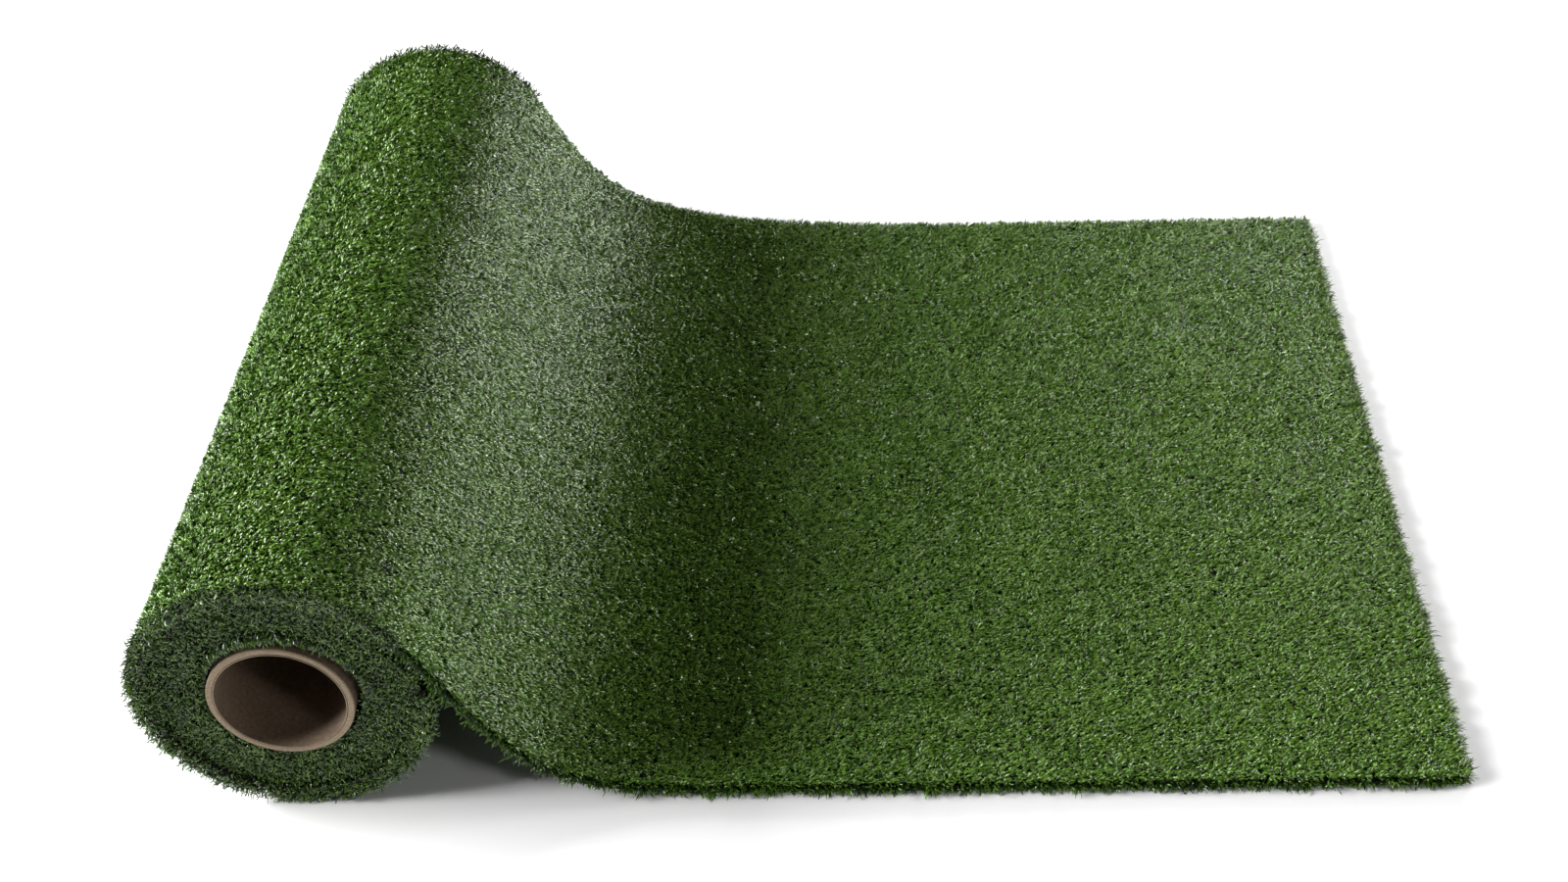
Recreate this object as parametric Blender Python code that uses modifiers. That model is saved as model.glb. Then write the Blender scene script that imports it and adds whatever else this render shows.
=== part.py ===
"""A practice putting mat: artificial turf wound on a paper tube, with its free end drawn out flat.

Metres, +Z up. The mat lies along X and its width runs along Y. The roll stands at the -X end, and the
turf leaves it over the top, comes down a ramp and lies on the floor with its pile up. The origin is
under the middle of the mat, on the floor.

The turf is three bonded layers: a latex coating below, a woven cloth on it, and the tufted pile.
The sheet is divided where it bends or pays out, because a rigid model needs a joint there.
"""

import math

import bmesh
import bpy
from mathutils import Vector

# Driving dimensions
WIDTH = 0.610
FREE_END = 0.698  # the cut end of the mat, from the roll's axis
ROLL_RADIUS = 0.089

# The turf's layers, from the floor up, with the gap that two bonded layers keep in the model
COATING = 0.0013
CLOTH = 0.0010
PILE = 0.0056
PLY_GAP = 0.0003
TURF = COATING + CLOTH + PILE + 2 * PLY_GAP

# The paper tube: a 3 inch bore, with a thin liner ply inside the wound wall
TUBE_BORE_RADIUS = 0.0381
LINER = 0.0005
TUBE_RADIUS = 0.0428
TUBE_PROUD = 0.001  # how far each end stands out of the turf
TUBE_DROP = 0.0038  # the tube lies loose at the bottom of the winding's bore
TUBE_SIDE = -0.0010

# The winding inside the outer wrap
WINDING_RADIUS = ROLL_RADIUS - TURF - 0.0005
WINDING_BORE = 0.0473
WRAPS = 4
PITCH = (WINDING_RADIUS - WINDING_BORE) / WRAPS
WOUND_PILE = PITCH - PLY_GAP - COATING - CLOTH - 2 * PLY_GAP
STEPS_PER_TURN = 48
JOG = 5 / STEPS_PER_TURN  # share of a turn over which a wrap climbs onto the one below

# Angles round the roll, clockwise from its top as seen from -Y, which is the way the turf is wound
OUTER_WRAP_START = math.radians(90)
LEAVES_ROLL = math.radians(60)

# The underside of the ramp at the near edge and the far edge, as the pull of its two Bezier handles
RAMP_NEAR = {"steep_pull": 0.120, "flat_pull": 0.130, "lands": 0.260}
RAMP_FAR = {"steep_pull": 0.095, "flat_pull": 0.300, "lands": 0.410}
RAMP_END = 0.215  # where the ramp's solid meets the bed's, from the roll's axis
RAMP_STATIONS = 16
BED_STATIONS = 8
ACROSS = 4  # spans across the width on the twisted stretch

# The free end, in strips that can curl back
STRIPS = 4
STRIP = 0.065
BED_END = FREE_END - STRIPS * STRIP
JOINT_GAP = 0.0003

ROLL_X = -(FREE_END - ROLL_RADIUS) / 2  # puts the origin under the middle
AXIS = Vector((ROLL_X, 0, ROLL_RADIUS))

COLOURS = {
    "pile": ((0.045, 0.16, 0.022), 0.55),
    "cloth": ((0.02, 0.025, 0.02), 0.85),
    "coating": ((0.03, 0.03, 0.03), 0.7),
    "tube": ((0.34, 0.25, 0.17), 0.8),
    "liner": ((0.40, 0.29, 0.18), 0.7),
}


def clear_scene():
    for obj in list(bpy.data.objects):
        bpy.data.objects.remove(obj)


def make_materials():
    made = {}
    for name, (colour, roughness) in COLOURS.items():
        material = bpy.data.materials.new(name)
        material.use_nodes = True
        shader = material.node_tree.nodes["Principled BSDF"]
        shader.inputs["Base Color"].default_value = (*colour, 1)
        shader.inputs["Roughness"].default_value = roughness
        made[name] = material
    return made


def add_object(name, data, material):
    obj = bpy.data.objects.new(name, data)
    COLLECTION.objects.link(obj)
    data.materials.append(MATERIALS[material])
    return obj


def layers(pile=PILE):
    """Name, lowest and highest height of each layer above the sheet's underside."""
    cloth_low = COATING + PLY_GAP
    pile_low = cloth_low + CLOTH + PLY_GAP
    return (
        ("coating", 0, COATING),
        ("cloth", cloth_low, cloth_low + CLOTH),
        ("pile", pile_low, pile_low + pile),
    )


def on_roll(angle, radius):
    """A point (x, z) about the roll's axis, at an angle clockwise from its top."""
    return radius * math.sin(angle), radius * math.cos(angle)


def wound_layer(name, material, inside, outside):
    """A layer that bends about the roll's axis, from its outline's inner and outer points."""
    curve = bpy.data.curves.new(name, "CURVE")
    curve.dimensions = "2D"
    curve.fill_mode = "BOTH"
    curve.extrude = WIDTH / 2
    outline = inside + outside[::-1]
    spline = curve.splines.new("POLY")
    spline.points.add(len(outline) - 1)
    for point, (x, z) in zip(spline.points, outline):
        point.co = (x, z, 0, 1)
    spline.use_cyclic_u = True
    obj = add_object(name, curve, material)
    obj.location = AXIS
    obj.rotation_euler = (math.radians(90), 0, 0)
    return obj


def smooth(t):
    t = min(max(t, 0), 1)
    return t * t * (3 - 2 * t)


def wrap_underside(turns):
    """Radius of the winding's underside after so many turns: round wraps, each with one climb."""
    wraps, part = divmod(turns, 1)
    return WINDING_BORE + PITCH * (wraps + smooth((part - 1 + JOG) / JOG))


def winding():
    """The inner wraps: one sheet from the bore to just before it would climb into the outer wrap."""
    last = round((WRAPS - JOG) * STEPS_PER_TURN)
    for material, low, high in layers(WOUND_PILE):
        inside, outside = [], []
        for step in range(last + 1):
            turns = step / STEPS_PER_TURN
            angle = OUTER_WRAP_START + 2 * math.pi * turns
            radius = wrap_underside(turns)
            inside.append(on_roll(angle, radius + low))
            outside.append(on_roll(angle, radius + high))
        wound_layer(f"winding_{material}", material, inside, outside)


def outer_wrap():
    """The last wrap, which the winding turns inside as the mat pays out."""
    sweep = LEAVES_ROLL + 2 * math.pi - OUTER_WRAP_START
    steps = round(sweep / (2 * math.pi) * STEPS_PER_TURN)
    for material, low, high in layers():
        inside, outside = [], []
        for step in range(steps + 1):
            angle = OUTER_WRAP_START + sweep * step / steps
            underside = ROLL_RADIUS - TURF
            inside.append(on_roll(angle, underside + low))
            outside.append(on_roll(angle, underside + high))
        wound_layer(f"outer_wrap_{material}", material, inside, outside)


def ramp_curve(steep_pull, flat_pull, lands, samples=200):
    """The sheet's underside as (x from the axis, z), a cubic Bezier from the roll to the floor."""
    x, z = on_roll(LEAVES_ROLL, ROLL_RADIUS - TURF)
    start = Vector((x, z + ROLL_RADIUS))
    down_the_ramp = Vector((math.cos(LEAVES_ROLL), -math.sin(LEAVES_ROLL)))
    handles = (
        start,
        start + steep_pull * down_the_ramp,
        Vector((lands - flat_pull, 0)),
        Vector((lands, 0)),
    )
    points = []
    for i in range(samples + 1):
        t = i / samples
        weights = ((1 - t) ** 3, 3 * t * (1 - t) ** 2, 3 * t * t * (1 - t), t**3)
        points.append(sum((w * h for w, h in zip(weights, handles)), Vector((0, 0))))
    return points


def height_at(points, x):
    """Height of a curve that runs towards +X, and the floor's beyond its end."""
    for a, b in zip(points, points[1:]):
        if a.x <= x <= b.x:
            return a.y + (b.y - a.y) * (x - a.x) / (b.x - a.x)
    return points[0].y if x < points[0].x else 0


def underside(x, across):
    """Height of the sheet's underside at x from the axis. across runs from 0, near, to 1, far."""
    return (1 - across) * height_at(NEAR_CURVE, x) + across * height_at(FAR_CURVE, x)


def raised(x, across, height):
    """The point at this height above the underside, square to the sheet, in the mat's frame."""
    reach = 0.0001
    along = Vector((2 * reach, underside(x + reach, across) - underside(x - reach, across)))
    square = Vector((-along.y, along.x)).normalized()
    return Vector((
        ROLL_X + x + height * square.x,
        (across - 0.5) * WIDTH,
        underside(x, across) + height * square.y,
    ))


def hanging_layers(prefix, stations):
    """The turf's layers over a stretch whose height differs from edge to edge."""
    for material, low, high in layers():
        mesh = bpy.data.meshes.new(f"{prefix}_{material}")
        form = bmesh.new()
        bmesh.ops.create_grid(form, x_segments=len(stations) - 1, y_segments=ACROSS, size=0.5)
        for vert in form.verts:
            column = round((vert.co.x + 0.5) * (len(stations) - 1))
            vert.co = raised(stations[column], vert.co.y + 0.5, low)
        form.to_mesh(mesh)
        form.free()
        obj = add_object(mesh.name, mesh, material)
        thicken = obj.modifiers.new("thickness", "SOLIDIFY")
        thicken.thickness = high - low
        thicken.offset = 1
        thicken.use_even_offset = True


def ramp_and_bed():
    """The ramp, closer stations where it bends most, and the bed that lies beyond it."""
    start = on_roll(LEAVES_ROLL, ROLL_RADIUS - TURF)[0] + JOINT_GAP
    ramp = [
        start + (RAMP_END - start) * (i / RAMP_STATIONS) ** 1.3
        for i in range(RAMP_STATIONS + 1)
    ]
    hanging_layers("ramp", ramp)
    bed_start = RAMP_END + JOINT_GAP
    bed_end = BED_END - JOINT_GAP / 2
    bed = [
        bed_start + (bed_end - bed_start) * i / BED_STATIONS
        for i in range(BED_STATIONS + 1)
    ]
    hanging_layers("bed", bed)


def end_strips():
    """The free end's strips, which lie flat and can curl back towards the roll."""
    for strip in range(STRIPS):
        low_x = BED_END + strip * STRIP + JOINT_GAP / 2
        high_x = BED_END + (strip + 1) * STRIP
        if strip < STRIPS - 1:
            high_x -= JOINT_GAP / 2
        for material, low, high in layers():
            bpy.ops.mesh.primitive_cube_add(size=1)
            block = bpy.context.object
            mesh = block.data
            bpy.data.objects.remove(block)
            for vert in mesh.vertices:
                vert.co.x *= high_x - low_x
                vert.co.y *= WIDTH
                vert.co.z *= high - low
            mesh.name = f"end_{strip + 1}_{material}"
            obj = add_object(mesh.name, mesh, material)
            obj.location = (ROLL_X + (low_x + high_x) / 2, 0, (low + high) / 2)


def tube(name, material, bore, radius):
    """A round tube about the tube's own axis, turned from its wall's section."""
    mesh = bpy.data.meshes.new(name)
    half = WIDTH / 2 + TUBE_PROUD
    section = [(radius, half), (radius, -half), (bore, -half), (bore, half)]
    form = bmesh.new()
    verts = [form.verts.new((x, 0, z)) for x, z in section]
    for a, b in zip(verts, verts[1:] + verts[:1]):
        form.edges.new((a, b))
    form.to_mesh(mesh)
    form.free()
    obj = add_object(name, mesh, material)
    turn = obj.modifiers.new("turn", "SCREW")
    turn.steps = turn.render_steps = 48
    turn.use_merge_vertices = True
    turn.merge_threshold = 0.00001
    obj.location = AXIS + Vector((TUBE_SIDE, 0, -TUBE_DROP))
    obj.rotation_euler = (math.radians(90), 0, 0)


def core():
    tube("core_tube", "tube", TUBE_BORE_RADIUS + LINER + PLY_GAP, TUBE_RADIUS)
    tube("core_liner", "liner", TUBE_BORE_RADIUS, TUBE_BORE_RADIUS + LINER)


clear_scene()
COLLECTION = bpy.data.collections.new("putting_mat")
bpy.context.scene.collection.children.link(COLLECTION)
MATERIALS = make_materials()
NEAR_CURVE = ramp_curve(**RAMP_NEAR)
FAR_CURVE = ramp_curve(**RAMP_FAR)
core()
winding()
outer_wrap()
ramp_and_bed()
end_strips()
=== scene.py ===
"""A practice putting mat, partly unrolled: real turf pile, its backings and the paper tube inside.

Metres, +Z up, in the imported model's frame. The sheet is followed by its length, s, along its
underside, and by how far across its width a point lies, 0 at the near edge (-Y) and 1 at the far edge.
"""

import math

import bmesh
import bpy
import numpy as np
from mathutils import Matrix, Vector


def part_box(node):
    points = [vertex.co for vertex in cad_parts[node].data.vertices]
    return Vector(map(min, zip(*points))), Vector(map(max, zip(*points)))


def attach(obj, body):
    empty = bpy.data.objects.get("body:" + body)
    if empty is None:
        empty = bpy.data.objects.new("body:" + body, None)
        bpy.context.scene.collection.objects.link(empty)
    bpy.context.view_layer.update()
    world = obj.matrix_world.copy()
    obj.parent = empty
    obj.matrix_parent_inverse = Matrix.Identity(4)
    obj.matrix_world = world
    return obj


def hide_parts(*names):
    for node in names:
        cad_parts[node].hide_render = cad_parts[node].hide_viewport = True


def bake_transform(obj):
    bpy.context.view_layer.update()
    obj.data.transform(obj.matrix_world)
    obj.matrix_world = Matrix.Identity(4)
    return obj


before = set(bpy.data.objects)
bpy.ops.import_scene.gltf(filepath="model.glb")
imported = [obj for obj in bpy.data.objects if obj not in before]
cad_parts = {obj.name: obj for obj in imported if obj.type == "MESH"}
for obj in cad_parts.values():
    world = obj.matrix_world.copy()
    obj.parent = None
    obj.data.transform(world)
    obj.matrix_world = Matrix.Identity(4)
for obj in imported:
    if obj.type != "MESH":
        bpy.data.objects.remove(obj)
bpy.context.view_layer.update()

# ------------------------------------------------------------------ sizes, from the frame

WRAP_LOW, WRAP_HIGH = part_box("outer_wrap_pile")
ROLL_RADIUS = (WRAP_HIGH.z - WRAP_LOW.z) / 2
WIDTH = WRAP_HIGH.y - WRAP_LOW.y
AXIS_X = WRAP_LOW.x + ROLL_RADIUS
COATING_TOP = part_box("end_1_coating")[1].z
CLOTH_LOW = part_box("end_1_cloth")[0].z
CLOTH_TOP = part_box("end_1_cloth")[1].z
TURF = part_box("end_1_pile")[1].z
FREE_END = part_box("end_4_pile")[1].x
STRIP_STARTS = [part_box(f"end_{k}_pile")[0].x for k in (1, 2, 3, 4)]
STRIP = STRIP_STARTS[1] - STRIP_STARTS[0]

# Angles round the roll, clockwise from its top as seen from -Y, and the ramp's two Bezier edges
WRAP_START = math.radians(90)
LEAVES_ROLL = math.radians(60)
RAMP_NEAR = {"steep_pull": 0.120, "flat_pull": 0.130, "lands": 0.260}
RAMP_FAR = {"steep_pull": 0.095, "flat_pull": 0.300, "lands": 0.410}

# The wraps inside the outer one
WRAPS = 4
WINDING_BORE = 0.0473
PITCH = (ROLL_RADIUS - TURF - 0.0005 - WINDING_BORE) / WRAPS
JOG = 5 / 48  # the part of a turn in which a wrap climbs on to the one below
WINDING_TURN = math.radians(54)  # how far it turns as the roll is drawn back

# The pile
TUFT_ALONG = 0.0025  # from one stitch to the next
TUFT_ACROSS = 0.0028  # from one needle row to the next
STRANDS = 8  # in a tuft
STRAND_LENGTH = 0.0075
STRAND_WIDTH = 0.00105
STRAND_ROUND = 0.35  # how far a strand's shading turns away at its edges, as a slope
WIDEST = 0.68  # where along itself a strand is widest
WINDING_INSET = 0.004  # how far the wound wraps sit inside the outer one at each end
ROOT_DEPTH = 0.0006  # the roots are held this far down in the cloth
FLOOR_CLEARANCE = 0.0003  # the pile is pressed flat under the roll, down to this height
COMB = math.radians(-8)  # the way the pile is brushed, from along the sheet
# The share of tufts that curl back towards the roll, against the length: most of the wrap's rising side
BACKWARDS = [(0.25, 0.60), (0.36, 0.03)]
OVER = np.array([0.0, 1.0, 0.0])  # straight across the mat

# The tube
TUBE_LOW, TUBE_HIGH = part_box("core_tube")
TUBE_CENTRE = (TUBE_LOW + TUBE_HIGH) / 2
TUBE_CENTRE.y = 0
TUBE_RADIUS = (TUBE_HIGH.x - TUBE_LOW.x) / 2
BORE_RADIUS = 0.0381
LINER = 0.0005
PLY = 0.00062  # one ply of the tube's wall
PLY_ADVANCE, LINER_ADVANCE = 0.19, 0.15  # how far along the tube a ply goes in one turn
PLY_SEAM, LINER_SEAM = 0.0012, 0.0009  # the seams' widths

# Points on the curves
RAMP_POINTS, WRAP_POINTS, SPIRAL_POINTS = 400, 420, 1600
FLAT_STEP = 0.001

# Seeds. A stretch's number, its part and its side (-1 or 1) are added to the first group
TUFT_SEEDS, EDGE_SEEDS, WINDING_SEEDS, MOUTH_SEEDS = 100, 300, 500, 600
CUT_SEED = 400
SWIRL_SEED, PATCH_SEED, EDGE_TINT_SEED, END_TINT_SEED, RAGGED_SEED = 5, 6, 8, 9, 11

# Texture maps: the strands' own map, and the cloth's, which is in metres
STRAND_MAP = "OFBake"
CLOTH_MAP = "Weave"
TAPE = 0.0015  # the width of the cloth's woven tapes


# ------------------------------------------------------------------ materials


def linear(hex_colour):
    """An sRGB hex colour as linear red, green, blue and alpha."""
    values = [int(hex_colour[i : i + 2], 16) / 255 for i in (1, 3, 5)]
    return (*((v / 12.92 if v <= 0.04045 else ((v + 0.055) / 1.055) ** 2.4) for v in values), 1)


def add(tree, kind, links=None, stops=None, **settings):
    """Adds a node. links gives its inputs a value or another node's output, by name or number."""
    made = tree.nodes.new(kind)
    for name, value in settings.items():
        setattr(made, name, value)
    for name, value in (links or {}).items():
        if isinstance(value, bpy.types.NodeSocket):
            tree.links.new(value, made.inputs[name])
        else:
            made.inputs[name].default_value = value
    if stops:
        elements = made.color_ramp.elements
        while len(elements) < len(stops):
            elements.new(1)
        for element, (place, colour) in zip(elements, stops):
            element.position = place
            element.color = colour
    return made


def new_material(name, **values):
    """A material with a Principled shader and its plain values. Returns it, its tree and the shader."""
    material = bpy.data.materials.new(name)
    material.use_nodes = True
    shader = material.node_tree.nodes["Principled BSDF"]
    for socket, value in values.items():
        shader.inputs[socket.replace("_", " ")].default_value = value
    return material, material.node_tree, shader


def polyethylene_yarn(name, root, middle, tip, roughness):
    """Curled polyethylene monofilament: a waxy gloss on a green, with painted shade that darkens it in at
    the roots.

    The strand map holds each strand's own tone across, whose palest end paints a highlight, and its root
    to tip upwards.
    """
    material, tree, shader = new_material(name, Roughness=roughness, IOR=1.51)
    place = add(tree, "ShaderNodeUVMap", uv_map=STRAND_MAP)
    split = add(tree, "ShaderNodeSeparateXYZ", {0: place.outputs["UV"]})
    # Root to tip: painted shade darkens each strand from its tip down to near black at its root
    along = add(
        tree, "ShaderNodeValToRGB", {"Fac": split.outputs["Y"]},
        [(0.0, linear(root)), (0.45, linear(middle)), (1.0, linear(tip))],
    )
    # Each strand's own tone, at random; the pale stops at the top are painted highlights on the palest
    # strands
    tone_and_glint = add(
        tree, "ShaderNodeValToRGB", {"Fac": split.outputs["X"]},
        [(0.0, linear("#4f5b46")), (0.3, linear("#9aa58c")), (0.6, linear("#dfe3cc")),
         (0.9, linear("#ffffe6")), (1.0, linear("#fff6c4"))],
    )
    mixed = add(
        tree, "ShaderNodeMix", {0: 1.0, 6: along.outputs["Color"], 7: tone_and_glint.outputs["Color"]},
        data_type="RGBA", blend_type="MULTIPLY",
    )
    tree.links.new(mixed.outputs[2], shader.inputs["Base Color"])
    return material


def tape_cloth():
    """Woven polypropylene tape: a dull dark green basket of flat threads."""
    material, tree, shader = new_material("woven polypropylene tape", Roughness=0.7, IOR=1.49)
    place = add(tree, "ShaderNodeUVMap", uv_map=CLOTH_MAP)
    threads = add(
        tree, "ShaderNodeMapping", {"Vector": place.outputs["UV"], "Scale": (1 / TAPE, 1 / TAPE, 1)}
    )
    weave = add(
        tree, "ShaderNodeTexChecker",
        {"Vector": threads.outputs[0], "Color1": linear("#0e1c0d"), "Color2": linear("#16280f"),
         "Scale": 1.0},
    )
    tree.links.new(weave.outputs["Color"], shader.inputs["Base Color"])
    bump = add(
        tree, "ShaderNodeBump", {"Height": weave.outputs["Fac"], "Strength": 0.5, "Distance": 0.0002}
    )
    tree.links.new(bump.outputs[0], shader.inputs["Normal"])
    return material


def latex_coating():
    """Carboxylated latex spread on the back: matt black, ribbed by the stitch rows beneath it."""
    material, tree, shader = new_material("latex back coating", Roughness=0.62, IOR=1.5)
    place = add(tree, "ShaderNodeUVMap", uv_map=CLOTH_MAP)
    rib_to_each_row = 1 / TUFT_ACROSS / 6.28 * 2
    rows = add(
        tree, "ShaderNodeTexWave",
        {"Vector": place.outputs["UV"], "Scale": rib_to_each_row,
         "Distortion": 1.5, "Detail": 3.0, "Detail Scale": 4.0},
        bands_direction="Y",
    )
    mottle = add(
        tree, "ShaderNodeTexNoise", {"Vector": place.outputs["UV"], "Scale": 260.0, "Detail": 5.0}
    )
    height = add(
        tree, "ShaderNodeMath", {0: rows.outputs["Fac"], 1: mottle.outputs["Fac"]}, operation="ADD"
    )
    colour = add(
        tree, "ShaderNodeValToRGB", {"Fac": mottle.outputs["Fac"]},
        [(0.3, linear("#141513")), (0.7, linear("#2a2c29"))],
    )
    bump = add(
        tree, "ShaderNodeBump", {"Height": height.outputs[0], "Strength": 0.6, "Distance": 0.0004}
    )
    tree.links.new(colour.outputs["Color"], shader.inputs["Base Color"])
    tree.links.new(bump.outputs[0], shader.inputs["Normal"])
    return material


def from_tube_axis(tree, place):
    """Positions measured from the tube's own axis."""
    return add(
        tree, "ShaderNodeMapping",
        {"Vector": place.outputs["Object"], "Location": (-TUBE_CENTRE.x, 0, -TUBE_CENTRE.z)},
    )


def paperboard(name, dark, light, advance_in_turn, seam):
    """Spiral-wound recycled paperboard: matt, flecked with fibres, with seams that wind round it."""
    material, tree, shader = new_material(name, Roughness=0.82, IOR=1.5)
    place = add(tree, "ShaderNodeTexCoord")
    centred = from_tube_axis(tree, place)
    split = add(tree, "ShaderNodeSeparateXYZ", {0: centred.outputs[0]})
    angle = add(
        tree, "ShaderNodeMath", {0: split.outputs["X"], 1: split.outputs["Z"]}, operation="ARCTAN2"
    )
    turns = add(
        tree, "ShaderNodeMath", {0: angle.outputs[0], 1: 1 / (2 * math.pi)}, operation="MULTIPLY"
    )
    advance = add(
        tree, "ShaderNodeMath", {0: split.outputs["Y"], 1: advance_in_turn}, operation="DIVIDE"
    )
    helix = add(tree, "ShaderNodeMath", {0: turns.outputs[0], 1: advance.outputs[0]}, operation="ADD")
    across_ply = add(tree, "ShaderNodeMath", {0: helix.outputs[0]}, operation="FRACT")
    seam_line = add(
        tree, "ShaderNodeMapRange",
        {"Value": across_ply.outputs[0], "From Min": 0.0, "From Max": seam / advance_in_turn,
         "To Min": 1.0, "To Max": 0.0},
    )
    fibres = add(
        tree, "ShaderNodeTexNoise",
        {"Vector": place.outputs["Object"], "Scale": 420.0, "Detail": 6.0, "Roughness": 0.65},
    )
    blotches = add(
        tree, "ShaderNodeTexNoise", {"Vector": place.outputs["Object"], "Scale": 45.0, "Detail": 3.0}
    )
    both = add(
        tree, "ShaderNodeMix",
        {0: 0.2, 2: fibres.outputs["Fac"], 3: blotches.outputs["Fac"]}, data_type="FLOAT",
    )
    paper = add(
        tree, "ShaderNodeValToRGB", {"Fac": both.outputs[0]},
        [(0.33, linear(dark)), (0.66, linear(light))],
    )
    seamed = add(
        tree, "ShaderNodeMix",
        {0: seam_line.outputs[0], 6: paper.outputs["Color"], 7: linear("#33261a")}, data_type="RGBA",
    )
    tree.links.new(seamed.outputs[2], shader.inputs["Base Color"])
    relief = add(
        tree, "ShaderNodeMath", {0: fibres.outputs["Fac"], 1: seam_line.outputs[0]}, operation="SUBTRACT"
    )
    bump = add(
        tree, "ShaderNodeBump", {"Height": relief.outputs[0], "Strength": 0.45, "Distance": 0.0003}
    )
    tree.links.new(bump.outputs[0], shader.inputs["Normal"])
    return material


def cut_paperboard():
    """The tube's sawn end: pale ragged fibre between the thin glue lines of its plies."""
    material, tree, shader = new_material("cut paperboard edge", Roughness=0.9, IOR=1.5)
    place = add(tree, "ShaderNodeTexCoord")
    centred = from_tube_axis(tree, place)
    flat = add(
        tree, "ShaderNodeVectorMath", {0: centred.outputs[0], 1: (1, 0, 1)}, operation="MULTIPLY"
    )
    radius = add(tree, "ShaderNodeVectorMath", {0: flat.outputs[0]}, operation="LENGTH")
    fibres = add(
        tree, "ShaderNodeTexNoise", {"Vector": place.outputs["Object"], "Scale": 700.0, "Detail": 5.0}
    )
    rough_radius = add(
        tree, "ShaderNodeMath", {0: fibres.outputs["Fac"], 1: 0.00035, 2: radius.outputs["Value"]},
        operation="MULTIPLY_ADD",
    )
    plies = add(
        tree, "ShaderNodeMath", {0: rough_radius.outputs[0], 1: 2 * math.pi / PLY}, operation="MULTIPLY"
    )
    rings = add(tree, "ShaderNodeMath", {0: plies.outputs[0]}, operation="SINE")
    shade = add(
        tree, "ShaderNodeMapRange",
        {"Value": rings.outputs[0], "From Min": -1.0, "From Max": 1.0, "To Min": 0.0, "To Max": 0.55},
    )
    mixed = add(
        tree, "ShaderNodeMath", {0: fibres.outputs["Fac"], 1: 0.6, 2: shade.outputs[0]},
        operation="MULTIPLY_ADD",
    )
    colour = add(
        tree, "ShaderNodeValToRGB", {"Fac": mixed.outputs[0]},
        [(0.2, linear("#5b4c3c")), (0.55, linear("#8b7962")), (0.9, linear("#b3a188"))],
    )
    tree.links.new(colour.outputs["Color"], shader.inputs["Base Color"])
    bump = add(
        tree, "ShaderNodeBump", {"Height": mixed.outputs[0], "Strength": 0.6, "Distance": 0.0004}
    )
    tree.links.new(bump.outputs[0], shader.inputs["Normal"])
    return material


def pressed_pile():
    """Pile packed between two wraps: only its mass shows, deep behind the cut ends, in a dark green to
    near black that is painted shade.
    """
    material, tree, shader = new_material("packed polyethylene pile, painted shade", Roughness=0.6, IOR=1.51)
    place = add(tree, "ShaderNodeTexCoord")
    strands = add(
        tree, "ShaderNodeTexNoise", {"Vector": place.outputs["Object"], "Scale": 600.0, "Detail": 3.0}
    )
    colour = add(
        tree, "ShaderNodeValToRGB", {"Fac": strands.outputs["Fac"]},
        [(0.35, linear("#081206")), (0.65, linear("#1d3b16"))],
    )
    tree.links.new(colour.outputs["Color"], shader.inputs["Base Color"])
    return material


# ------------------------------------------------------------------ the sheet's line


def ramp_edge(steep_pull, flat_pull, lands):
    """One edge's underside from the roll to the floor, as x from the roll's axis and z."""
    lift = ROLL_RADIUS - TURF
    start = np.array([lift * math.sin(LEAVES_ROLL), lift * math.cos(LEAVES_ROLL) + ROLL_RADIUS])
    down = np.array([math.cos(LEAVES_ROLL), -math.sin(LEAVES_ROLL)])
    handles = start, start + steep_pull * down, np.array([lands - flat_pull, 0]), np.array([lands, 0])
    t = np.linspace(0, 1, RAMP_POINTS)[:, None]
    shares = (1 - t) ** 3, 3 * t * (1 - t) ** 2, 3 * t * t * (1 - t), t**3
    return sum(share * handle for share, handle in zip(shares, handles))


def line_from(near, far):
    """A sheet's line from its two edges, (x, z) point by point, with the length at mid width."""
    middle = (near + far) / 2
    steps = np.linalg.norm(np.diff(middle, axis=0), axis=1)
    length = np.concatenate([[0], np.cumsum(steps)])

    def headings(edge):
        along = np.gradient(edge, length, axis=0)
        return along / np.linalg.norm(along, axis=1)[:, None]

    return {
        "s": length, "near": near, "far": far, "near_way": headings(near), "far_way": headings(far),
    }


def drawn_sheet():
    """The outer wrap, the ramp and the flat stretch, as one line. x is in the frame."""
    lift = ROLL_RADIUS - TURF
    turn = np.linspace(WRAP_START, LEAVES_ROLL + 2 * math.pi, WRAP_POINTS)[:-1]
    wrap = np.stack([lift * np.sin(turn), lift * np.cos(turn) + ROLL_RADIUS], 1)
    x = np.arange(lift * math.sin(LEAVES_ROLL), FREE_END - AXIS_X, FLAT_STEP)
    x = np.append(x, FREE_END - AXIS_X)
    edges = []
    for ramp in (RAMP_NEAR, RAMP_FAR):
        edge = ramp_edge(**ramp)
        flat = np.stack([x, np.interp(x, edge[:, 0], edge[:, 1], right=0)], 1)
        edges.append(np.concatenate([wrap, flat]) + [AXIS_X, 0])
    return line_from(*edges)


def wound_sheet():
    """The winding's spiral: round wraps, each with one climb, as one line."""
    turns = np.linspace(0, WRAPS - JOG, SPIRAL_POINTS)
    wraps, part = np.divmod(turns, 1)
    climb = np.clip((part - 1 + JOG) / JOG, 0, 1)
    radius = WINDING_BORE + PITCH * (wraps + climb * climb * (3 - 2 * climb))
    turn = WRAP_START + 2 * math.pi * turns
    spiral = np.stack([AXIS_X + radius * np.sin(turn), ROLL_RADIUS + radius * np.cos(turn)], 1)
    return line_from(spiral, spiral)


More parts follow.
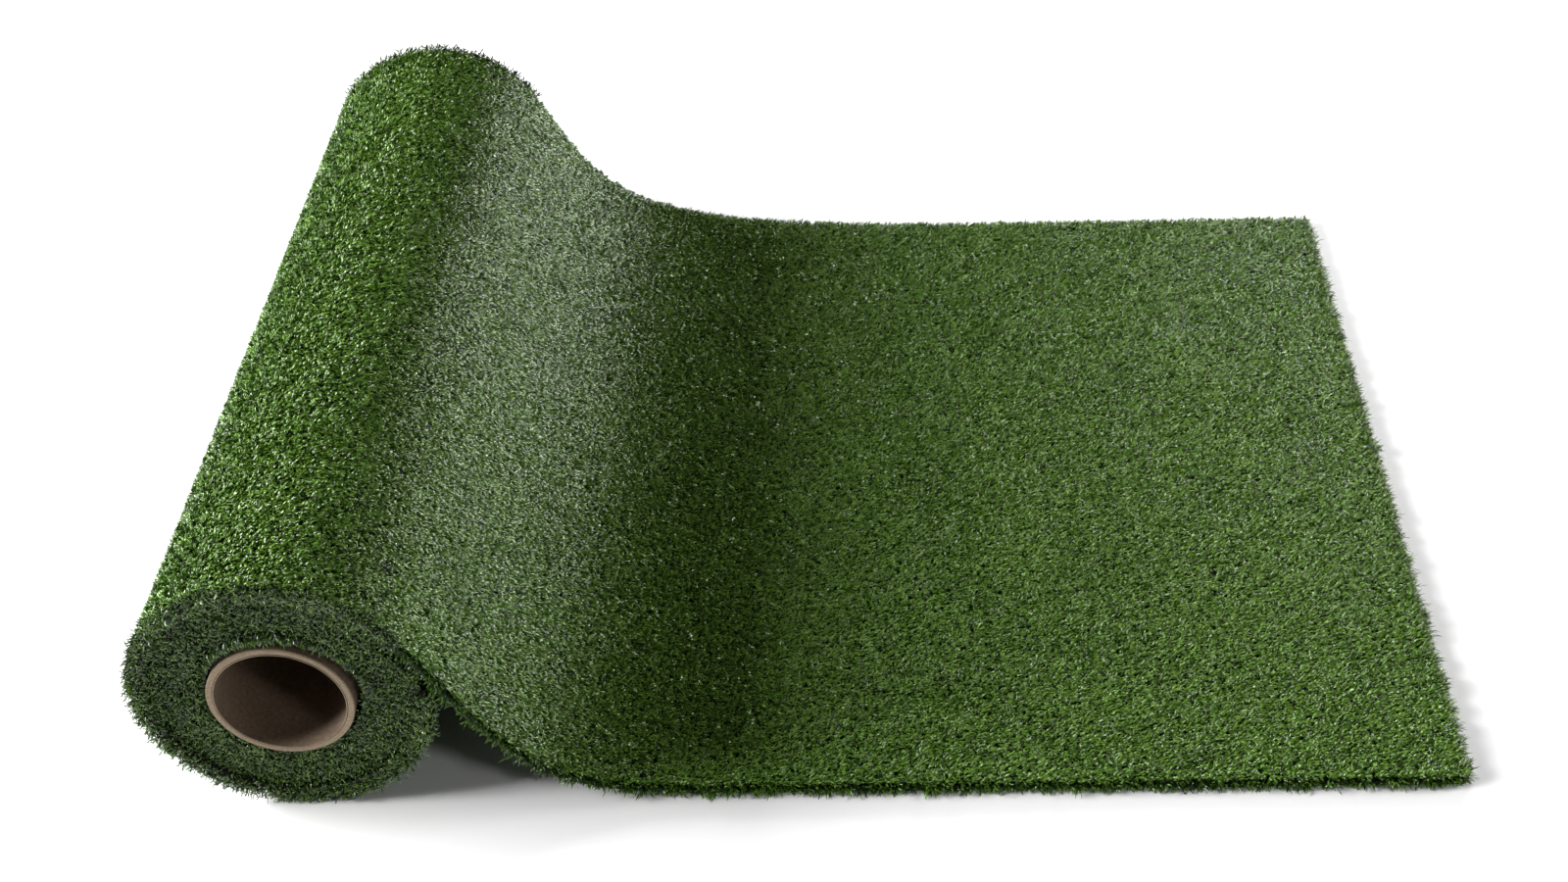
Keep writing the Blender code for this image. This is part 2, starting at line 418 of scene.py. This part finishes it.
def on_line(line, s, across, height):
    """Points, the way along the sheet and the way out of its pile side, each (n, 3)."""

    def between(name):
        ends = [
            np.stack([np.interp(s, line["s"], line[side + name][:, i]) for i in (0, 1)], 1)
            for side in ("near", "far")
        ]
        return ends[0] + (ends[1] - ends[0]) * across[:, None]

    place, way = between(""), between("_way")
    way /= np.linalg.norm(way, axis=1)[:, None]
    flat = np.zeros(len(s))
    along = np.stack([way[:, 0], flat, way[:, 1]], 1)
    out = np.stack([-way[:, 1], flat, way[:, 0]], 1)
    points = np.stack([place[:, 0], (across - 0.5) * WIDTH, place[:, 1]], 1)
    return points + out * np.reshape(height, (-1, 1)), along, out


def length_at(line, x):
    """The length along the flat stretch at this x."""
    middle = (line["near"][:, 0] + line["far"][:, 0]) / 2
    flat = line["s"] > LEAVE_S - 1e-6
    return float(np.interp(x, middle[flat], line["s"][flat]))


# ------------------------------------------------------------------ backings


def new_object(name, mesh, *materials):
    """A mesh object in the scene, with its materials in order."""
    obj = bpy.data.objects.new(name, mesh)
    bpy.context.scene.collection.objects.link(obj)
    for material in materials:
        mesh.materials.append(material)
    return obj


def lay(name, line, start, end, low, high, material, columns, rows=8, inset=0.0):
    """One layer of the sheet between two lengths, from a grid laid on the line and thickened.

    low and high are its heights above the sheet's underside, and inset is how far its ends stop short.
    """
    mesh = bpy.data.meshes.new(name)
    form = bmesh.new()
    bmesh.ops.create_grid(form, x_segments=columns, y_segments=rows, size=0.5)
    flat = np.array([vert.co[:2] for vert in form.verts])
    s = start + (flat[:, 0] + 0.5) * (end - start)
    across = 0.5 + flat[:, 1] * (1 - 2 * inset / WIDTH)
    points, _, _ = on_line(line, s, across, low)
    for vert, point in zip(form.verts, points):
        vert.co = point
    cut = form.loops.layers.uv.new(CLOTH_MAP)
    form.verts.index_update()
    for face in form.faces:
        for loop in face.loops:
            i = loop.vert.index
            loop[cut].uv = s[i], across[i] * WIDTH
    form.to_mesh(mesh)
    form.free()
    mesh.shade_smooth()
    obj = new_object(name, mesh, material)
    thicken = obj.modifiers.new("thickness", "SOLIDIFY")
    thicken.thickness = high - low
    thicken.offset = 1
    thicken.use_even_offset = True
    view = bpy.context.evaluated_depsgraph_get()
    solid = bpy.data.meshes.new_from_object(obj.evaluated_get(view))
    solid.set_sharp_from_angle(angle=math.radians(50))
    obj.modifiers.clear()
    obj.data = solid
    return obj


# ------------------------------------------------------------------ pile


def strand_form():
    """One strand, narrow at both ends: each vertex's side and its share of the length, and the faces."""
    form = bmesh.new()
    bmesh.ops.create_grid(form, x_segments=1, y_segments=2, size=0.5)
    for end in (-0.5, 0.5):
        row = [vert for vert in form.verts if abs(vert.co.y - end) < 0.1]
        bmesh.ops.pointmerge(form, verts=row, merge_co=(0, end, 0))
    middle = [vert for vert in form.verts if abs(vert.co.y) < 0.1]
    bmesh.ops.translate(form, verts=middle, vec=(0, WIDEST - 0.5, 0))
    bmesh.ops.reverse_faces(form, faces=form.faces)
    form.verts.index_update()
    shape = np.array([(vert.co.x, vert.co.y + 0.5) for vert in form.verts])
    faces = [[vert.index for vert in face.verts] for face in form.faces]
    form.free()
    return shape, faces


def repeat_strands(name, points, normals, tones_and_glints, material):
    """A mesh of many strands, shaded as round. points and normals are (strands, vertices of one, 3)."""
    shape, faces = STRAND
    count, corners = len(points), len(shape)
    loops = np.concatenate([np.array(face) for face in faces])
    starts = np.cumsum([0] + [len(face) for face in faces])[:-1]
    first = np.arange(count)[:, None]
    mesh = bpy.data.meshes.new(name)
    mesh.vertices.add(count * corners)
    mesh.vertices.foreach_set("co", points.astype(np.float32).ravel())
    mesh.loops.add(count * len(loops))
    mesh.loops.foreach_set("vertex_index", (loops[None] + first * corners).astype(np.int32).ravel())
    mesh.polygons.add(count * len(faces))
    loop_starts = starts[None] + first * len(loops)
    mesh.polygons.foreach_set("loop_start", loop_starts.astype(np.int32).ravel())
    mesh.update(calc_edges=True)
    mesh.shade_smooth()
    strand_map = mesh.uv_layers.new(name=STRAND_MAP)
    u = 0.04 + 0.92 * tones_and_glints[:, None] + 0.03 * shape[loops, 0][None]
    v = np.broadcast_to(0.02 + 0.96 * shape[loops, 1][None], u.shape)
    strand_map.uv.foreach_set("vector", np.stack([u, v], 2).astype(np.float32).ravel())
    mesh.normals_split_custom_set_from_vertices(normals.reshape(-1, 3).astype(np.float32))
    return new_object(name, mesh, material)


def grow(name, root, out, comb, length, width, lean, bend, twist, tones_and_glints, material):
    """Strands, one to a root. Each leaves along out, turned by lean towards comb, and curls over by bend.

    lean, bend and twist are angles, and length, width and tints are each strand's own.
    """
    side, share = STRAND[0][:, 0], STRAND[0][:, 1]
    levels = np.array([0, WIDEST, 1])
    curl = np.diff(levels**3) / (3 * np.diff(levels))  # the mean share of the bend in each part
    angle = lean[:, None] + bend[:, None] * curl[None]
    zero = np.zeros((len(lean), 1))
    level = np.abs(share[:, None] - levels[None]).argmin(1)
    rise = np.hstack([zero, np.cumsum(np.cos(angle) * np.diff(levels), 1)])[:, level]
    reach = np.hstack([zero, np.cumsum(np.sin(angle) * np.diff(levels), 1)])[:, level]
    flank = np.cross(out, comb)
    flank = np.cos(twist)[:, None] * flank + np.sin(twist)[:, None] * comb
    points = (
        root[:, None]
        + length[:, None, None] * (rise[:, :, None] * out[:, None] + reach[:, :, None] * comb[:, None])
        + (width[:, None] * side[None])[:, :, None] * flank[:, None]
    )
    there = (lean[:, None] + bend[:, None] * share[None] ** 2)[:, :, None]
    along = np.cos(there) * out[:, None] + np.sin(there) * comb[:, None]
    normals = np.cross(along, flank[:, None])
    normals += 2 * STRAND_ROUND * side[None, :, None] * flank[:, None]
    normals /= np.linalg.norm(normals, axis=2)[:, :, None]
    points[:, :, 2] = np.maximum(points[:, :, 2], FLOOR_CLEARANCE)
    return repeat_strands(name, points, normals, tones_and_glints, material)


def waves(rng, a, b, size):
    """A smooth random field, about -1 to 1, whose bumps are about size across."""
    total = np.zeros(len(a))
    for _ in range(6):
        way = rng.uniform(0, 2 * math.pi)
        pace = 2 * math.pi / (size * rng.uniform(0.7, 1.6))
        total += np.sin(pace * (a * math.cos(way) + b * math.sin(way)) + rng.uniform(0, 2 * math.pi))
    return total / 2.4


def tufts(name, line, start, end, near, far, seed, material):
    """The pile on one stretch: stitch rows of tufts, each tuft's strands combed and splayed."""
    rng = np.random.default_rng(seed)
    rows = max(1, round((far - near) * WIDTH / TUFT_ACROSS))
    stitches = max(1, round((end - start) / TUFT_ALONG))
    row, stitch = (grid.ravel() for grid in np.meshgrid(np.arange(rows), np.arange(stitches)))
    stagger = (row % 2) / 2
    stray_s = rng.normal(0, 0.09, len(row))
    stray_a = rng.normal(0, 0.09, len(row))
    tuft_s = start + (stitch + 0.25 + stagger + stray_s) / stitches * (end - start)
    tuft_a = near + (row + 0.5 + stray_a) / rows * (far - near)
    backwards = np.interp(tuft_s, *zip(*BACKWARDS)) > rng.uniform(0, 1, len(row))
    tuft_turn = rng.normal(0, 0.28, len(row)) + math.pi * backwards
    tuft_tint = rng.normal(0, 0.16, len(row))
    tuft_length = rng.normal(1, 0.05, len(row))
    pick = np.repeat(np.arange(len(row)), STRANDS)
    count = len(pick)
    splay = rng.uniform(0, 2 * math.pi, count)
    apart = 0.0006 * np.sqrt(rng.uniform(0, 1, count))
    s = np.clip(tuft_s[pick] + apart * np.cos(splay), start, end)
    across = np.clip(tuft_a[pick] + apart * np.sin(splay) / WIDTH, near, far)
    root, along, out = on_line(line, s, across, CLOTH_TOP - ROOT_DEPTH)
    y = across * WIDTH
    swirl = COMB + 0.14 * waves(np.random.default_rng(SWIRL_SEED), s, y, 0.022) + tuft_turn[pick]
    comb = (
        (np.cos(swirl) + 0.4 * np.cos(splay))[:, None] * along
        + (np.sin(swirl) + 0.4 * np.sin(splay))[:, None] * OVER
    )
    comb += rng.normal(0, 0.3, (count, 1)) * along + rng.normal(0, 0.3, (count, 1)) * OVER
    comb /= np.linalg.norm(comb, axis=1)[:, None]
    patch = waves(np.random.default_rng(PATCH_SEED), s, y, 0.09)
    tones_and_glints = 0.5 + 0.03 * patch + tuft_tint[pick] + rng.normal(0, 0.17, count)
    return grow(
        name, root, out, comb,
        length=STRAND_LENGTH * tuft_length[pick] * rng.normal(1, 0.08, count).clip(0.75, 1.2),
        width=STRAND_WIDTH * rng.uniform(0.75, 1.15, count),
        lean=rng.normal(0.1, 0.15, count),
        bend=rng.normal(1.7, 0.45, count).clip(0.4, 2.6),
        twist=rng.normal(0, 0.5, count),
        tones_and_glints=tones_and_glints.clip(0, 1),
        material=material,
    )


def fringe(name, line, start, end, side, per_mm, seed, material, length, reach=0.004, droops=0.35):
    """Strands at a cut edge that splay out over it. side is -1 near, 1 far, and 0 the free end.

    droops is the share that leaves edgewise and hangs down over the backing.
    """
    rng = np.random.default_rng(seed)
    if side:
        count = int((end - start) * 1000 * per_mm)
        s = rng.uniform(start, end, count)
        inwards = reach * rng.uniform(0, 1, count) ** 1.4 / WIDTH
        across = inwards if side < 0 else 1 - inwards
    else:
        count = int(WIDTH * 1000 * per_mm)
        across = rng.uniform(0, 1, count)
        s = end - reach * rng.uniform(0, 1, count) ** 1.4
    root, along, out = on_line(line, s, across, CLOTH_TOP - ROOT_DEPTH)
    away = side * OVER + np.zeros_like(along) if side else along
    beside = along if side else OVER
    comb = 1.2 * away + rng.normal(0, 0.7, (count, 1)) * beside
    comb /= np.linalg.norm(comb, axis=1)[:, None]
    down = rng.uniform(0, 1, count) < droops
    first, then = np.where(down[:, None], comb, out), np.where(down[:, None], -out, comb)
    tones_and_glints = 0.45 + 0.12 * waves(np.random.default_rng(EDGE_TINT_SEED), s, across * WIDTH, 0.03)
    ragged = 1 + 0.25 * waves(np.random.default_rng(RAGGED_SEED), s, across * WIDTH, 0.012)
    return grow(
        name, root, first, then,
        length=length * ragged * rng.normal(1, 0.2, count).clip(0.5, 1.6),
        width=0.9 * STRAND_WIDTH * rng.uniform(0.7, 1.15, count),
        lean=np.where(
            down, rng.normal(-0.15, 0.35, count), rng.normal(0.6, 0.35, count).clip(0.05, 1.3)
        ),
        bend=rng.normal(0.8, 0.45, count).clip(0.15, 1.7),
        twist=rng.normal(0, 0.7, count),
        tones_and_glints=(tones_and_glints + rng.normal(0, 0.18, count)).clip(0, 1),
        material=material,
    )


def squeezed(name, line, start, end, side, height, per_mm, seed, material, length, inset=0.0):
    """Strands that wound wraps squeeze out of their cut edge, curling every way over the backings."""
    rng = np.random.default_rng(seed)
    count = int((end - start) * 1000 * per_mm)
    s = rng.uniform(start, end, count)
    inwards = (inset + rng.uniform(0.0002, 0.0035, count)) / WIDTH
    across = inwards if side < 0 else 1 - inwards
    root, along, out = on_line(line, s, across, rng.uniform(0.0003, height, count))
    turn = rng.uniform(0, 2 * math.pi, count)
    comb = np.cos(turn)[:, None] * along + np.sin(turn)[:, None] * out
    away = side * OVER + np.zeros_like(along)
    tones_and_glints = 0.42 + 0.12 * waves(np.random.default_rng(END_TINT_SEED), s, across * WIDTH, 0.012)
    return grow(
        name, root, away, comb,
        length=length * rng.normal(1, 0.2, count).clip(0.5, 1.5),
        width=STRAND_WIDTH * rng.uniform(0.7, 1.15, count),
        lean=rng.normal(0.3, 0.25, count),
        bend=rng.normal(2.0, 0.5, count).clip(0.5, 2.8),
        twist=rng.normal(0, 0.9, count),
        tones_and_glints=(tones_and_glints + rng.normal(0, 0.26, count)).clip(0, 1),
        material=material,
    )


def room(points):
    """How far each point stands off the tube."""
    return np.hypot(points[:, 0] - TUBE_CENTRE.x, points[:, 2] - TUBE_CENTRE.z) - TUBE_RADIUS


def paid_out(points):
    """The points as they are once the winding has turned as far as it goes."""
    x, z = points[:, 0] - AXIS_X, points[:, 2] - ROLL_RADIUS
    cos, sin = math.cos(WINDING_TURN), math.sin(WINDING_TURN)
    return np.column_stack(
        [AXIS_X + x * cos + z * sin, points[:, 1], ROLL_RADIUS - x * sin + z * cos]
    )


def mouth(name, side, count, seed, material):
    """Loose strands of the innermost wrap that hang over the gap round the tube.

    They are longest where the gap is widest, taking the smaller of the gap at rest and once paid out.
    """
    rng = np.random.default_rng(seed)
    s = rng.uniform(0, 2 * math.pi * WINDING_BORE, count)
    inwards = (WINDING_INSET + rng.uniform(0, 0.002, count)) / WIDTH
    across = inwards if side < 0 else 1 - inwards
    root, along, out = on_line(SPIRAL, s, across, rng.uniform(0, CLOTH_TOP + 0.002, count))
    away = side * OVER + np.zeros_like(along)
    comb = -out + rng.normal(0, 0.7, (count, 1)) * along
    comb /= np.linalg.norm(comb, axis=1)[:, None]
    gap = np.minimum(room(root), room(paid_out(root)))
    upwards = (root[:, 2] - TUBE_CENTRE.z) / WINDING_BORE
    return grow(
        name, root, away, comb,
        length=(0.0008 + gap * (0.68 + 0.14 * upwards)) * rng.normal(1, 0.16, count).clip(0.5, 1.3),
        width=STRAND_WIDTH * rng.uniform(0.7, 1.15, count),
        lean=rng.normal(0.75, 0.3, count),
        bend=rng.normal(0.7, 0.4, count).clip(0.15, 1.6),
        twist=rng.normal(0, 0.6, count),
        # Painted shade: the strands over the gap round the tube get darker tones than the open pile
        tones_and_glints=rng.normal(0.25, 0.18, count).clip(0, 1),
        material=material,
    )


# ------------------------------------------------------------------ the tube


def round_the_tube(element):
    """A number that grows with an element's angle round the tube, then along it, then with its radius."""
    corners = getattr(element, "verts", [element])
    x, y, z = sum((vert.co for vert in corners), Vector()) / len(corners) - TUBE_CENTRE
    return round(math.atan2(x, z), 4) * 1e6 + round(y, 5) * 100 + round(math.hypot(x, z), 6) * 0.01


def turned_tube(name, bore, radius, materials, cut_slot):
    """A paper tube with softened rims, spun about its own axis. cut_slot is its ends' material."""
    low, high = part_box("core_tube")
    form = bmesh.new()
    rim = min(0.0006, (radius - bore) * 0.3)
    across = np.array([
        (bore, low.y + rim), (bore + rim, low.y), (radius - rim, low.y), (radius, low.y + rim),
        (radius, high.y - rim), (radius - rim, high.y), (bore + rim, high.y), (bore, high.y - rim),
    ])
    verts = [form.verts.new((TUBE_CENTRE.x + r, y, TUBE_CENTRE.z)) for r, y in across]
    edges = [form.edges.new(pair) for pair in zip(verts, verts[1:] + verts[:1])]
    bmesh.ops.spin(
        form, geom=verts + edges, cent=TUBE_CENTRE, axis=(0, 1, 0), angle=2 * math.pi, steps=128,
        use_merge=True, use_duplicate=False,
    )
    bmesh.ops.remove_doubles(form, verts=form.verts, dist=0.000001)
    bmesh.ops.recalc_face_normals(form, faces=form.faces)
    for elements in (form.verts, form.edges, form.faces):
        elements.sort(key=round_the_tube)  # the spin leaves them in a different order in each run
    mesh = bpy.data.meshes.new(name)
    for face in form.faces:
        face.smooth = True
        face.material_index = cut_slot if abs(face.normal.y) > 0.5 else 0
    form.to_mesh(mesh)
    form.free()
    mesh.set_sharp_from_angle(angle=math.radians(30))
    return new_object(name, mesh, *materials)


# ------------------------------------------------------------------ everything in its place

STRAND = strand_form()
SHEET = drawn_sheet()
SPIRAL = wound_sheet()
LEAVE_S = (LEAVES_ROLL + 2 * math.pi - WRAP_START) * (ROLL_RADIUS - TURF)

YARN = polyethylene_yarn("polyethylene pile yarn", "#030b01", "#2c5616", "#86b04c", 0.15)
# Painted shade: a darker copy of the pile yarn for the strands on the roll's shaded ends
SHADED_END_YARN = polyethylene_yarn("polyethylene yarn, painted shade at roll ends", "#030a01", "#214610", "#84ab48", 0.13)
EDGE_YARN = polyethylene_yarn("polyethylene yarn, cut edge", "#22361a", "#4c6a33", "#8c9f68", 0.4)
CLOTH = tape_cloth()
COATING = latex_coating()
TUBE_PAPER = paperboard("spiral paperboard", "#5d4c3b", "#82705a", PLY_ADVANCE, PLY_SEAM)
LINER_PAPER = paperboard("kraft liner paper", "#5b4a3c", "#7b6854", LINER_ADVANCE, LINER_SEAM)
CUT_PAPER = cut_paperboard()
# Painted shade: the packed pile's dark colour stands in for the shade deep between the wraps
PRESSED_IN_SHADE = pressed_pile()

# The sheet's stretches: name, start and end, the body or bodies that it follows, how many pieces its
# pile is cut into, and how many columns its backings have
RAMP_END = AXIS_X + 0.200
PAYOUT_END = STRIP_STARTS[0] - STRIP / 2
CUT_S = [length_at(SHEET, x + STRIP / 2) for x in STRIP_STARTS[:3]]
STRETCHES = [
    ("outer_wrap", 0.0, LEAVE_S, ("roll",), 5, 120),
    ("ramp", LEAVE_S, length_at(SHEET, RAMP_END), ("roll",), 2, 48),
    ("bed", length_at(SHEET, RAMP_END), length_at(SHEET, PAYOUT_END), ("roll", "bed"), 2, 40),
    ("end_1", length_at(SHEET, PAYOUT_END), CUT_S[0], ("bed", "end_strip_1"), 1, 16),
    ("end_2", CUT_S[0], CUT_S[1], ("end_strip_1", "end_strip_2"), 1, 16),
    ("end_3", CUT_S[1], CUT_S[2], ("end_strip_2", "end_strip_3"), 1, 16),
    ("end_4", CUT_S[2], SHEET["s"][-1], ("end_strip_3", "end_strip_4"), 1, 24),
]


def follow(obj, name, bodies):
    """Rides on one body; a piece given two bodies is only fixed where it stands in the frame."""
    if len(bodies) == 1:
        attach(obj, bodies[0])
    elif name == "bed":
        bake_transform(obj)
    else:
        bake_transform(obj)


def build_stretch(index, name, start, end, bodies, parts, columns):
    """One stretch's coating, cloth, tufts and edge strands."""
    coating = lay(f"{name}_coating_layer", SHEET, start, end, 0, COATING_TOP, COATING, columns)
    cloth = lay(f"{name}_backing_cloth", SHEET, start, end, CLOTH_LOW, CLOTH_TOP, CLOTH, columns)
    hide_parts(f"{name}_coating")
    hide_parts(f"{name}_cloth")
    piles = []
    split_along = name == "outer_wrap"
    for part in range(parts):
        low, high = part / parts, (part + 1) / parts
        label = f"{name}_tufts" if parts == 1 else f"{name}_tufts_{part + 1}"
        if split_along:
            span = start + low * (end - start), start + high * (end - start), 0, 1
        else:
            span = start, end, low, high
        piles.append(tufts(label, SHEET, *span, TUFT_SEEDS + 10 * index + part, YARN))
    for side, word in ((-1, "near"), (1, "far")):
        seed = EDGE_SEEDS + 10 * index + side
        if name == "outer_wrap":
            piles.append(squeezed(
                f"{name}_fringe_{word}", SHEET, start, end, side, height=TURF - 0.001, per_mm=13,
                seed=seed, material=SHADED_END_YARN, length=0.0074,
            ))
        else:
            piles.append(fringe(
                f"{name}_fringe_{word}", SHEET, start, end, side, per_mm=7, seed=seed, material=YARN,
                length=0.0058 if side < 0 else 0.0045, droops=0.5,
            ))
    if name == "end_4":
        piles.append(fringe(
            "end_4_fringe_cut", SHEET, start, end, 0, per_mm=10, seed=CUT_SEED, material=EDGE_YARN,
            length=0.0080,
        ))
    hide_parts(f"{name}_pile")
    for piece, slot in [(coating, "latex_coating"), (cloth, "backing_cloth")]:
        follow(piece, name, bodies)
    for pile in piles:
        follow(pile, name, bodies)


def build_winding():
    """The wound wraps: their backings, the pile packed between them and the strands at their ends."""
    end = SPIRAL["s"][-1]
    layers = {"columns": 400, "inset": WINDING_INSET}
    coating = lay("winding_coating_layer", SPIRAL, 0, end, 0, COATING_TOP, COATING, **layers)
    cloth = lay("winding_backing_cloth", SPIRAL, 0, end, CLOTH_LOW, CLOTH_TOP, CLOTH, **layers)
    pressed = lay(
        "winding_pressed_pile", SPIRAL, 0, end, CLOTH_TOP + 0.0002, PITCH - 0.0006, PRESSED_IN_SHADE, 400,
        inset=WINDING_INSET + 0.003,
    )
    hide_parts("winding_coating")
    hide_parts("winding_cloth")
    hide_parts("winding_pile")
    piles = [pressed]
    for side, word in ((-1, "near"), (1, "far")):
        piles.append(squeezed(
            f"winding_fringe_{word}", SPIRAL, 0, end, side, height=PITCH, per_mm=14,
            seed=WINDING_SEEDS + side, material=SHADED_END_YARN, length=0.0060, inset=WINDING_INSET,
        ))
        piles.append(mouth(
            f"winding_mouth_{word}", side, count=2600, seed=MOUTH_SEEDS + side, material=SHADED_END_YARN
        ))
    for piece, slot in [(coating, "latex_coating"), (cloth, "backing_cloth")]:
        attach(piece, "winding")
    for pile in piles:
        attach(pile, "winding")


def build_core():
    """The paper tube's wall and the liner ply inside it."""
    split = BORE_RADIUS + LINER
    wall = turned_tube("paper_tube", split + 0.0002, TUBE_RADIUS, (TUBE_PAPER, CUT_PAPER), 1)
    liner = turned_tube("tube_liner", BORE_RADIUS, split, (LINER_PAPER, CUT_PAPER), 1)
    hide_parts("core_tube")
    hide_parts("core_liner")
    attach(wall, "core")
    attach(liner, "core")


for number, stretch in enumerate(STRETCHES):
    build_stretch(number, *stretch)
build_winding()
build_core()


# ------------------------------------------------------------------ floor, light and camera


def studio_floor():
    """A plain pale floor."""
    bpy.ops.mesh.primitive_plane_add(size=14)
    floor = bpy.context.object
    floor.name = "floor"
    material, tree, shader = new_material("white studio floor", Roughness=0.75)
    shader.inputs["Base Color"].default_value = linear("#f4f4f4")
    floor.data.materials.append(material)


def softbox(name, place, size, power):
    """A white area light that faces the middle of the mat."""
    light = bpy.data.lights.new(name, "AREA")
    light.shape = "RECTANGLE"
    light.size, light.size_y = size
    light.energy = power
    obj = bpy.data.objects.new(name, light)
    bpy.context.scene.collection.objects.link(obj)
    obj.location = place
    obj.rotation_euler = (-Vector(place)).to_track_quat("-Z", "Y").to_euler()


def studio():
    """Four soft lights and a faint sky. The back light lays the gloss down the ramp."""
    world = bpy.data.worlds.new("studio")
    bpy.context.scene.world = world
    world.use_nodes = True
    sky = world.node_tree.nodes["Background"]
    sky.inputs["Color"].default_value = (1.0, 1.0, 0.98, 1)
    sky.inputs["Strength"].default_value = 0.06
    softbox("key", (-2.58, -0.09, 1.09), (1.7, 1.3), 235)
    softbox("back", (1.12, 2.42, 0.84), (0.9, 0.7), 82)
    softbox("right", (2.66, 0.47, 0.85), (0.9, 0.8), 42)
    softbox("front", (1.38, -1.64, 1.8), (0.4, 0.4), 9)


def camera():
    """A view from in front and above, very slightly turned and rolled."""
    pitch, yaw, roll = 0.6873, -0.019, -0.0268
    eye = Vector((AXIS_X + 0.3629, -1.129, 0.9506))
    view = Vector((math.sin(yaw) * math.cos(pitch), math.cos(yaw) * math.cos(pitch), -math.sin(pitch)))
    level = Vector((math.cos(yaw), -math.sin(yaw), 0))
    upright = level.cross(view)
    right = math.cos(roll) * level + math.sin(roll) * upright
    up = math.cos(roll) * upright - math.sin(roll) * level
    data = bpy.data.cameras.new("camera")
    data.sensor_width = 36
    data.lens = 47.07
    data.shift_x = -0.0568
    obj = bpy.data.objects.new("camera", data)
    bpy.context.scene.collection.objects.link(obj)
    obj.matrix_world = Matrix((
        (right.x, up.x, -view.x, eye.x),
        (right.y, up.y, -view.y, eye.y),
        (right.z, up.z, -view.z, eye.z),
        (0, 0, 0, 1),
    ))
    bpy.context.scene.camera = obj


studio_floor()
studio()
camera()
bpy.context.scene.view_settings.view_transform = "Standard"
